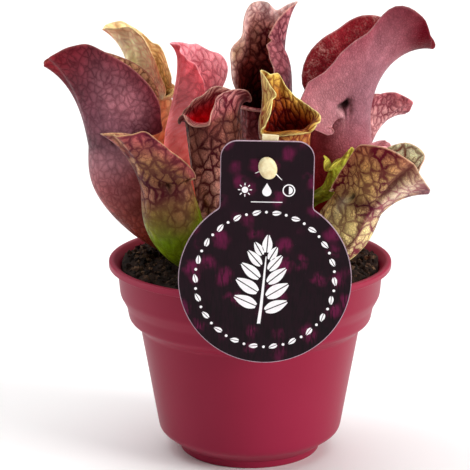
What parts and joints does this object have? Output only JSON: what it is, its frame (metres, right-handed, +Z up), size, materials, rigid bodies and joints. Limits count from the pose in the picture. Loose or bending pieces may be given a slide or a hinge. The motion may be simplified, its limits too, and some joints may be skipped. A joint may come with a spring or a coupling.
{
  "type": "potted pitcher plant",
  "caption": "Young pitcher plant with veined, hooded, trumpet-shaped leaves growing from peat in a small round raspberry plastic pot, with a hang-on label card on a stake.",
  "frame": {"origin": "Centre of the flat base of the pot, on the surface that it stands on.", "axes": "Z up along the axis of the pot. Y points to the back, so the label card faces -Y. X points to the right as seen from the front."},
  "size_m": [0.1224, 0.0931, 0.1446],
  "materials": {
    "pot": "semi-gloss raspberry plastic",
    "soil": "dark damp peat compost, matt",
    "crown": "matt brown rhizome",
    "pitcher_left_large": "living leaf, soft sheen with fine veins",
    "pitcher_right_large": "living leaf, soft sheen with fine veins",
    "pitcher_left_front": "living leaf, soft sheen with fine veins",
    "pitcher_right_front": "living leaf, soft sheen with fine veins",
    "pitcher_centre_left": "living leaf, soft sheen with fine veins",
    "pitcher_coral": "living leaf, soft sheen with fine veins",
    "pitcher_cream": "living leaf, soft sheen with fine veins",
    "pitcher_tall": "living leaf, soft sheen with fine veins",
    "pitcher_yellow": "living leaf, soft sheen with fine veins",
    "pitcher_right_back": "living leaf, soft sheen with fine veins",
    "pitcher_young_green": "living leaf, soft sheen with fine veins",
    "pitcher_young_pink": "living leaf, soft sheen with fine veins",
    "label_card": "printed, satin, dark aubergine",
    "label_stake": "cream moulded plastic"
  },
  "bodies": {
    "root": {"pot": "pot", "soil": "soil", "crown": "crown", "pitcher_left_large": "pitcher_left_large", "pitcher_right_large": "pitcher_right_large", "pitcher_left_front": "pitcher_left_front", "pitcher_right_front": "pitcher_right_front", "pitcher_centre_left": "pitcher_centre_left", "pitcher_coral": "pitcher_coral", "pitcher_cream": "pitcher_cream", "pitcher_tall": "pitcher_tall", "pitcher_yellow": "pitcher_yellow", "pitcher_right_back": "pitcher_right_back", "pitcher_young_green": "pitcher_young_green", "pitcher_young_pink": "pitcher_young_pink", "label_card": "label_card", "label_stake": "label_stake"}
  },
  "joints": []
}
